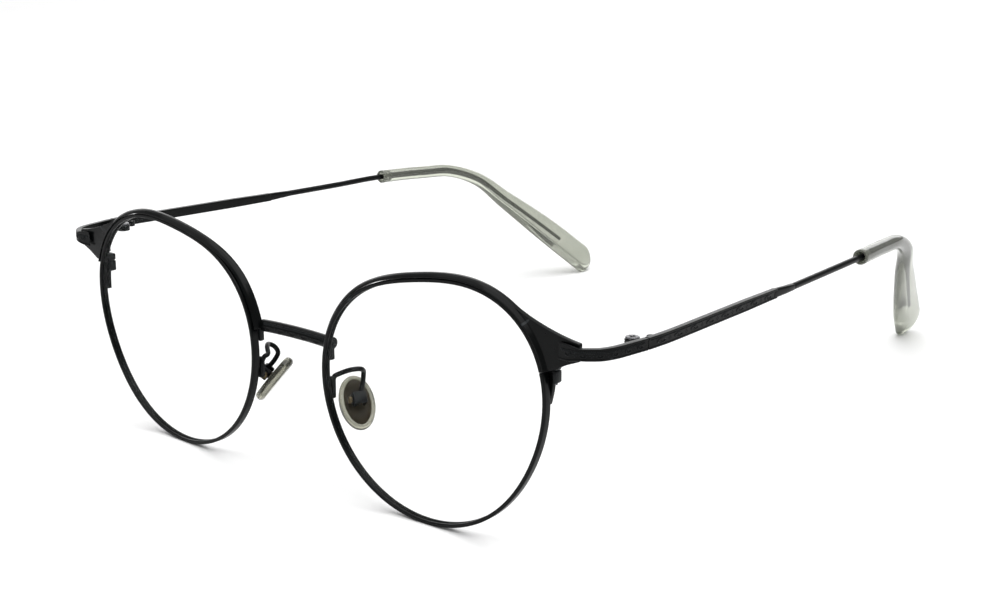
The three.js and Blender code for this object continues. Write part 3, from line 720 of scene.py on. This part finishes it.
def nose_pad():
    w, l, half = PAD_WIDTH / 2, PAD_LENGTH / 2, PAD_THICKNESS / 2
    side = [(0.88, -half), (0.925, -half + 0.05), (0.96, -0.68), (0.985, -0.4), (1, 0), (0.99, 0.3),
            (0.96, 0.58), (0.91, 0.8), (0.85, half - 0.03), (0.78, half)]
    a, b = CORE_WIDTH / 2 + GAP, CORE_LENGTH / 2 + GAP
    rows = [(a * k, b * k, -0.05) for k in (0.02, 0.6, 0.97)] + [(a, b, -0.1), (a, b, -half + 0.06),
                                                                (a + 0.06, b + 0.06, -half)]
    rows += [(w * k, l * k, d) for k, d in side] + [(w * k, l * k, half) for k in (0.5, 0.02)]
    return loft(oval_rings(rows))


def pad_core():
    a, b = CORE_WIDTH / 2, CORE_LENGTH / 2
    rows = [(a * 0.02, b * 0.02, -0.8), (a * 0.7, b * 0.7, -0.8), (a - 0.12, b - 0.12, -0.8),
            (a - 0.03, b - 0.03, -0.74), (a, b, -0.64), (a, b, -0.15), (a * 0.02, b * 0.02, -0.15)]
    tab = [(-0.7, -0.7)] + [(0.7 * math.cos(t), PAD_PIVOT + 0.7 * math.sin(t))
                            for t in np.linspace(math.pi, 2 * math.pi, 13)] + [(0.7, -0.7)]
    thin = plate([(x, y) for x, y in tab], -0.4, 0.4, "Z", 0.08)
    rotate = Matrix.Rotation(math.pi / 2, 4, "Y")
    return merge(loft(oval_rings(rows)), moved(thin, rotate))


def pad_box():
    base, front = -3.35, -1.25
    corners = [(-1.3, base), (1.3, base), (1.3, front), (0.6, front), (0.6, base + 0.6), (-0.6, base + 0.6),
               (-0.6, front), (-1.3, front)]
    return plate(corners, -1.25, 1.25, "Z", 0.3)


def pad_screw():
    profile = [(0.3, -1.38), (0.36, -1.3), (0.36, 1.36), (0.68, 1.38), (0.72, 1.45), (0.72, 1.85),
               (0.66, 2.0), (0.58, 2.05)]
    shape = turned(profile, 48, slotted(0.5, 0.11), 0.25)
    across_pad = Matrix.Translation((0, PAD_PIVOT, 0)) @ Matrix.Rotation(-math.pi / 2, 4, "Y")
    return moved(shape, across_pad)


def pad_arm():
    wire = tube(Curve(PAD_ARM_POINTS).line(0, 1, 96), PAD_ARM_RADIUS, 20, 0.1)
    foot = [(9.55, -5.3), (10.5, -5.3), (10.6, -1.2), (9.55, -1.0), (9.25, -2.4), (9.25, -4.2)]
    return merge(wire, plate(fillet(foot, 0.3, 3), -0.3, 0.7, bevel=0.2))


def build_pads():
    add_pair("pad_arm", pad_arm(), FRONT, BLACK)
    add_pair("pad_box", pad_box(), PAD, BLACK)
    add_pair("pad_screw", pad_screw(), PAD, BRASS)
    add_pair("nose_pad", nose_pad(), PAD, PAD_GEL, 50)
    add_pair("pad_core", pad_core(), PAD, INSERT)


# ---- endpiece, hinge and temple bar


def bar_section(thickness, height=BAR_HEIGHT):
    """Section of the bar set inwards from its outer face, which has a shallow panel between two lips."""
    half, panel = height / 2, 0.14
    lip = half - 0.3
    corners = [(-thickness, -half), (0, -half), (0, -lip), (-panel, 0.06 - lip), (-panel, lip - 0.06),
               (0, lip), (0, half), (-thickness, half)]
    return fillet(corners, [0.22, 0.2, 0.05, 0.04, 0.04, 0.05, 0.2, 0.22], 4)


def ornament(curve, start, end, pitch, rows):
    """Beaded line and wire ovals in the panel of a bar, between two distances along its outer face."""
    run, ts = curve.by_length()

    def spot(distance, height, sunk=0.12):
        t = np.interp(distance, run, ts)
        tangent = curve.tangent(t)
        level, rise = level_frame(tangent)
        return curve.at(t) - level * sunk + rise * height, tangent, rise

    shapes = []
    spacing = 0.34
    for row, height in enumerate(rows):
        for k in range(int((end - start) / spacing)):
            shapes.append(bead(spot(start + (k + row / 2) * spacing, height)[0], 0.13))
    count = int((end - start) / pitch)
    for k in range(count):
        middle = start + (k + 0.5) * (end - start) / count
        centre, tangent, rise = spot(middle, -0.12)
        shapes.append(oval_wire(centre, tangent, rise, 0.36 * pitch * 0.62, 0.34, 0.11))
        shapes.append(bead(centre, 0.13))
        if k < count - 1:
            gap = (end - start) / count / 2
            shapes += [bead(spot(middle + gap + dx, -0.12 + dz)[0], 0.1)
                       for dx, dz in ((-0.3, 0), (0.3, 0), (0, 0.26), (0, -0.26))]
    return shapes


def endpiece():
    curve = Curve([(x, y, BAR_Z) for x, y in CORNER_POINTS])
    rings = []
    for t in np.linspace(0, 1, 90):
        thickness = mix(0.24, BAR_THICKNESS, smoothstep(t, 0.05, 0.42))
        height = mix(BAR_START_HEIGHT, BAR_HEIGHT, smoothstep(t, 0.05, 0.3))
        rings.append(across(bar_section(thickness, height), curve.at(t), curve.tangent(t)))
    total = curve.by_length()[0][-1]
    return merge(loft(round_ends(rings, 0.12)), *ornament(curve, 0.7, total - 0.6, 2.6, (0.52, 0.3)))


def temple_bar():
    curve = Curve(BAR_FACE)
    stations = curve.line(0, 1, 110)
    narrowing = smoothstep(np.linspace(0, 1, len(stations)), 0.86, 1.0)
    heights = mix(BAR_HEIGHT, SHOULDER_HEIGHT, narrowing)
    rings = [across(bar_section(BAR_THICKNESS, h), p, t) for h, (p, t) in zip(heights, stations)]
    along = unit((-0.06, 1, -0.02))
    end = np.array(TEMPLE_POINTS[0])
    last = (end[0], end[1] - GAP, end[2], 2 * WIRE_RADIUS, 2 * WIRE_RADIUS)
    cone = []
    for x, y, z, width, height in [*SHOULDER, last]:
        w, h = width / 2, height / 2
        box = [(w, h), (-w, h), (-w, -h), (w, -h)]
        cone.append(across(fillet(box, width / 2.2, 5), np.array((x, y, z)), along))
    return merge(
        loft(round_ends(rings, 0.16)), loft(round_ends(cone, 0.05)),
        *ornament(curve, 0.8, curve.by_length()[0][-1] - 1.0, 5.2, (0.5,)),
    )


def knuckle(bottom, top):
    edge = 0.1
    wide = KNUCKLE_RADIUS
    profile = [(BORE_RADIUS, bottom), (wide - edge, bottom), (wide, bottom + edge), (wide, top - edge),
               (wide - edge, top), (BORE_RADIUS, top)]
    return turned(profile, 40)


def leaf(reach):
    slant = 0.45 if reach < 0 else 0.1
    near, far = 1.6 * reach, 4.2 * reach
    corners = [(LEAF_INNER, near), (LEAF_OUTER, near), (LEAF_OUTER - slant, far), (LEAF_INNER, far)]
    return plate(corners, BARREL_BOTTOM + 0.1, BARREL_TOP, "Z", 0.2)


def web(reach, bottom, top):
    near, far = sorted((0.7 * reach, 1.9 * reach))
    return brick((BORE_RADIUS, near, bottom), (LEAF_OUTER, far, top), 0.08)


def build_hinges():
    third, gap = (BARREL_TOP - BARREL_BOTTOM) / 3, 0.05
    low = (BARREL_BOTTOM, BARREL_BOTTOM + third - gap)
    middle = (BARREL_BOTTOM + third + gap, BARREL_TOP - third - gap)
    high = (BARREL_TOP - third + gap, BARREL_TOP)
    front = merge(knuckle(*low), knuckle(*high), web(-1, *low), web(-1, *high), leaf(-1))
    add_pair("hinge_front", front, HINGE_PIN, BLACK)
    top = BARREL_TOP
    dome = [(0.7, BARREL_BOTTOM + 0.2), (0.75, BARREL_BOTTOM + 0.3), (0.75, top), (0.66, top + 0.1),
            (0.4, top + 0.15)]
    rivet = moved(turned(dome, 40), Matrix.Translation((1.45, 3.3, 0)))
    add_pair("hinge_temple", merge(knuckle(*middle), web(1, *middle), leaf(1), rivet), HINGE_PIN, BLACK)
    profile = [(0.3, BARREL_BOTTOM - 0.1), (0.42, BARREL_BOTTOM), (0.42, top + 0.06), (1.15, top + 0.08),
               (1.25, top + 0.14), (1.25, top + 0.28), (1.17, top + 0.37), (1.0, top + 0.4)]
    add_pair("hinge_screw", turned(profile, 64, phillips(0.75, 0.17), 0.24), HINGE_PIN, STEEL)


# ---- temple wire and tip


TEMPLE = Curve(TEMPLE_POINTS)
LAST = len(TEMPLE_POINTS) - 1


def tip():
    """Sleeve with a hollow mouth round the wire, bending down and widening into a rounded paddle."""
    span = LAST - MOUTH
    widen = (PADDLE_START - MOUTH) / span
    c, s = math.cos(-PADDLE_TWIST), math.sin(-PADDLE_TWIST)
    twist = np.array([[c, s], [-s, c]])

    def oval(point, tangent, width, thickness):
        section = circle(0.5, 40) * (thickness, width)
        return across(section @ twist, point, tangent)

    rings = []
    for t in np.linspace(0, 1, 110):
        spread = smoothstep(t, widen, 0.93)
        place = (MOUTH + t * span) / LAST
        rings.append(oval(TEMPLE.at(place), TEMPLE.tangent(place), mix(2 * TIP_RADIUS, PADDLE_WIDTH, spread),
                          mix(2 * TIP_RADIUS, PADDLE_THICKNESS, spread)))
    end, ahead = TEMPLE.at(1), TEMPLE.tangent(1)
    for turn in np.radians([12, 24, 36, 48, 60, 70, 79, 86]):
        rings.append(oval(end + ahead * PADDLE_CAP * math.sin(turn), ahead, PADDLE_WIDTH * math.cos(turn),
                          PADDLE_THICKNESS * math.sqrt(math.cos(turn))))
    mouth, inward = TEMPLE.at(MOUTH / LAST), TEMPLE.tangent(MOUTH / LAST)
    hollow = [(1.48, 0.0), (1.2, 0.0), (1.08, 0.12), (1.0, 1.6), (0.85, 2.6), (0.75, 2.9)]
    throat = [oval(mouth + inward * d, inward, 2 * r, 2 * r) for r, d in hollow]
    rings[0] = oval(mouth + inward * 0.12, inward, 2 * TIP_RADIUS, 2 * TIP_RADIUS)
    return loft(throat[::-1] + rings)


def build_temples():
    add_pair("endpiece", endpiece(), FRONT, BLACK)
    add_pair("temple_bar", temple_bar(), FRONT, BLACK)
    places = np.linspace(0, CORE_END, 201)
    radius = mix(WIRE_RADIUS, CORE_RADIUS, smoothstep(places, MOUTH, MOUTH + 0.2))
    add_pair("temple_wire", tube(TEMPLE.line(0, CORE_END / LAST, 200), radius, 20, 0.15), FRONT, BLACK)
    add_pair("temple_tip", tip(), FRONT, TIP, 50)


build_eyes()
bridge()
build_pads()
build_hinges()
build_temples()

# ---------------------------------------------------------------- floor, light and camera


def build_floor():
    size = 3.0
    mesh = bpy.data.meshes.new("floor")
    corners = [(-size, -size, 0), (size, -size, 0), (size, size, 0), (-size, size, 0)]
    mesh.from_pydata(corners, [], [(0, 1, 2, 3)])
    mesh.materials.append(floor_paper())
    obj = bpy.data.objects.new("floor", mesh)
    bpy.context.scene.collection.objects.link(obj)


def area_light(name, place, target, size, power):
    data = bpy.data.lights.new(name, "AREA")
    data.shape = "RECTANGLE"
    data.size, data.size_y = size
    data.energy = power
    obj = bpy.data.objects.new(name, data)
    obj.location = place
    obj.rotation_euler = (Vector(target) - Vector(place)).to_track_quat("-Z", "Y").to_euler()
    bpy.context.scene.collection.objects.link(obj)


def build_light():
    world = bpy.data.worlds.new("studio")
    world.use_nodes = True
    world.node_tree.nodes["Background"].inputs["Color"].default_value = (1, 1, 1, 1)
    world.node_tree.nodes["Background"].inputs["Strength"].default_value = 0.3
    bpy.context.scene.world = world
    area_light("key", (0.2, 0.05, 1.0), (0, 0, 0), (1.5, 1.1), 8)
    area_light("overhead", (0, 0, 2), (0, 0, 0), (4, 4), 40)
    area_light("backdrop", (-1.9, 2.3, 0.85), (0, 0, 0.1), (4, 1.3), 33)


FOCAL_MM = 59.3
SENSOR_MM = 36.0
SHIFT = (-0.00163, 0.00302)
AZIMUTH, ELEVATION, ROLL = [math.radians(a) for a in (40.235, 15.363, -0.194)]
CAMERA_OFFSET = (39.62, 11.134, 315.36)  # along the camera's own right, up and back


def build_camera():
    back = Vector((math.sin(AZIMUTH) * math.cos(ELEVATION), -math.cos(AZIMUTH) * math.cos(ELEVATION),
                   math.sin(ELEVATION)))
    right = Vector((math.cos(AZIMUTH), math.sin(AZIMUTH), 0))
    up = back.cross(right)
    right, up = (right * math.cos(ROLL) + up * math.sin(ROLL), up * math.cos(ROLL) - right * math.sin(ROLL))
    place = right * CAMERA_OFFSET[0] + up * CAMERA_OFFSET[1] + back * CAMERA_OFFSET[2]
    turn = Matrix((right, up, back)).transposed().to_4x4()
    data = bpy.data.cameras.new("camera")
    data.sensor_width, data.lens = SENSOR_MM, FOCAL_MM
    data.shift_x, data.shift_y = SHIFT
    data.clip_start, data.clip_end = 0.01, 20
    obj = bpy.data.objects.new("camera", data)
    spin = Matrix.Rotation(-REST_TILT, 4, "X")
    obj.matrix_world = Matrix.Translation(WORLD @ place) @ spin @ turn
    bpy.context.scene.collection.objects.link(obj)
    bpy.context.scene.camera = obj


build_floor()
build_light()
build_camera()
bpy.context.scene.view_settings.view_transform = "Standard"
